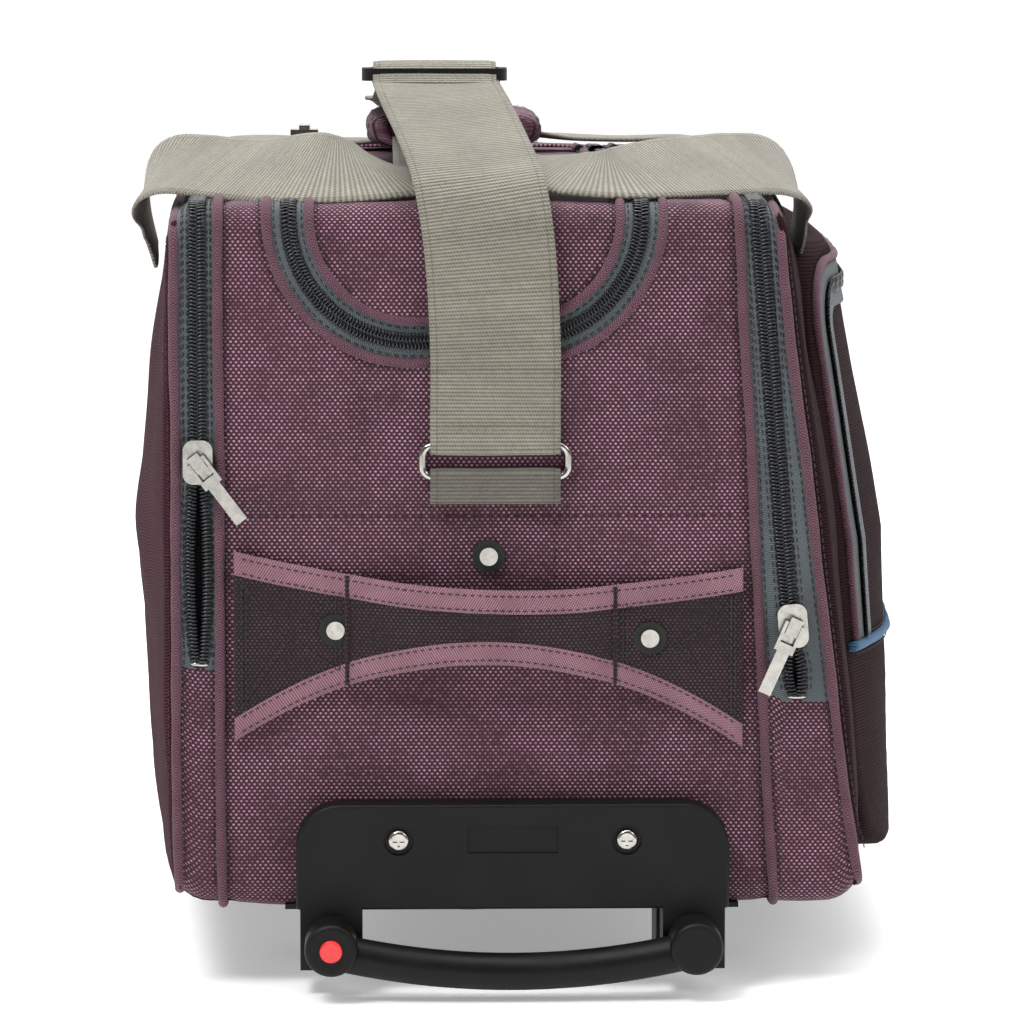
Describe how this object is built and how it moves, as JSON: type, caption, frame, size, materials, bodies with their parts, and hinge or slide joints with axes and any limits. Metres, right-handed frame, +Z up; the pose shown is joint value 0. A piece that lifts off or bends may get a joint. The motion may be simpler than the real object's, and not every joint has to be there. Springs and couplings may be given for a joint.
{
  "type": "wheeled duffel bag",
  "caption": "Wheeled duffel bag lying on its base: zipped U lid, zipped side bands, side pocket, carry and shoulder straps, telescoping pull handle with release button, rear wheels.",
  "frame": {"origin": "middle of the bounding box's footprint, on the ground that the bag stands on", "axes": "+Z up, -Y towards the pull handle, +X towards the side pocket"},
  "size_m": [0.3144, 0.5426, 0.3535],
  "materials": {
    "heather": "two-tone plum heather weave",
    "rib_fabric": "dark plum ribbed polyester",
    "base_cloth": "coated black cloth",
    "piping": "plum corded piping",
    "blue_piping": "steel-blue corded piping",
    "zip_tape": "charcoal twill tape",
    "coil": "nylon coil, satin",
    "nickel": "bright nickel",
    "webbing": "taupe ribbed polyester webbing",
    "dark_heather": "dark heather weave with plum binding",
    "black_plastic": "fine-grained moulded plastic",
    "washer_rubber": "black rubber",
    "red_button": "gloss red plastic",
    "tube_metal": "brushed anodised aluminium",
    "steel": "ground steel",
    "tyre": "soft black polyurethane",
    "hub_plastic": "dark grey nylon"
  },
  "bodies": {
    "bag": {"end_panel_near": "heather", "end_panel_far": "heather", "base_panel": "base_cloth", "top_panel": "heather", "side_panel_left": "rib_fabric", "side_panel_right": "rib_fabric", "gusset_left": "heather", "zip_tape_left": "zip_tape", "zip_coils_left": "coil", "piping_left": "piping", "gusset_right": "heather", "zip_tape_right": "zip_tape", "zip_coils_right": "coil", "piping_right": "piping", "lid_piping_body": "piping", "lid_zip_tape_body": "zip_tape", "lid_zip_coil_body": "coil", "side_pocket": "rib_fabric", "pocket_zip_tape": "zip_tape", "pocket_piping": "blue_piping", "stiffener_boards": "black_plastic", "base_tray": "black_plastic", "handle_housing": "black_plastic", "housing_screws": "nickel", "outer_tubes": "tube_metal", "tube_saddles": "black_plastic", "wheel_housings": "black_plastic", "axles": "steel", "grab_handle": "dark_heather", "grab_washers": "washer_rubber", "grab_rivets": "nickel", "tri_glide": "black_plastic", "shoulder_strap": "webbing", "strap_anchors": "webbing", "strap_rings": "nickel", "carry_handle_left": "webbing", "carry_handle_right": "webbing", "handle_wrap": "heather", "lid_zip_slider": "nickel"},
    "lid": {"lid_panel": "heather", "lid_piping_lid": "piping", "lid_zip_tape_lid": "zip_tape", "lid_zip_coil_lid": "coil"},
    "mid_stage": {"mid_tubes": "tube_metal"},
    "grip": {"inner_rods": "tube_metal", "rod_end_plugs": "black_plastic", "grip_bar": "black_plastic", "button_spring": "steel"},
    "button": {"release_button": "red_button", "push_rod": "steel"},
    "wheel_left": {"tyre_left": "tyre", "hub_left": "hub_plastic", "wheel_bearings_left": "steel"},
    "wheel_right": {"tyre_right": "tyre", "hub_right": "hub_plastic", "wheel_bearings_right": "steel"},
    "slider_left": {"zip_slider_left": "nickel"},
    "pull_left": {"pull_tab_left": "nickel"},
    "slider_right": {"zip_slider_right": "nickel"},
    "pull_right": {"pull_tab_right": "nickel"}
  },
  "joints": [
    {"name": "lid_hinge", "type": "hinge", "parent": "bag", "child": "lid", "pos_m": [-0.005, 0.218, 0.30691], "axis": [-1, 0, 0], "range_deg": [0, 95], "deforming": ["shoulder_strap", "tri_glide", "carry_handle_left", "carry_handle_right", "handle_wrap"]},
    {"name": "mid_stage_slide", "type": "slide", "parent": "bag", "child": "mid_stage", "axis": [0, -1, 0], "range_m": [0, 0.27]},
    {"name": "grip_slide", "type": "slide", "parent": "mid_stage", "child": "grip", "axis": [0, -1, 0], "range_m": [0, 0.27]},
    {"name": "button_press", "type": "slide", "parent": "grip", "child": "button", "axis": [0, 1, 0], "range_m": [0, 0.003], "stiffness_N_per_m": 500, "springref_m": -0.002, "deforming": ["button_spring"]},
    {"name": "wheel_left_spin", "type": "hinge", "parent": "bag", "child": "wheel_left", "pos_m": [-0.117, 0.2392, 0.03], "axis": [1, 0, 0], "continuous": true},
    {"name": "wheel_right_spin", "type": "hinge", "parent": "bag", "child": "wheel_right", "pos_m": [0.107, 0.2392, 0.03], "axis": [1, 0, 0], "continuous": true},
    {"name": "zip_left_slide", "type": "slide", "parent": "bag", "child": "slider_left", "axis": [0, 0, 1], "range_m": [-0.068, 0.084]},
    {"name": "pull_left_hinge", "type": "hinge", "parent": "slider_left", "child": "pull_left", "pos_m": [-0.1255, -0.2446, 0.206], "axis": [0.7986, 0, 0.6018], "range_deg": [-130, 0]},
    {"name": "zip_right_slide", "type": "slide", "parent": "bag", "child": "slider_right", "axis": [-0.0846, 0, 0.9964], "range_m": [-0.012, 0.146]},
    {"name": "pull_right_hinge", "type": "hinge", "parent": "slider_right", "child": "pull_right", "pos_m": [0.10325, -0.2446, 0.142], "axis": [0.9135, 0, -0.4067], "range_deg": [-130, 0]}
  ]
}
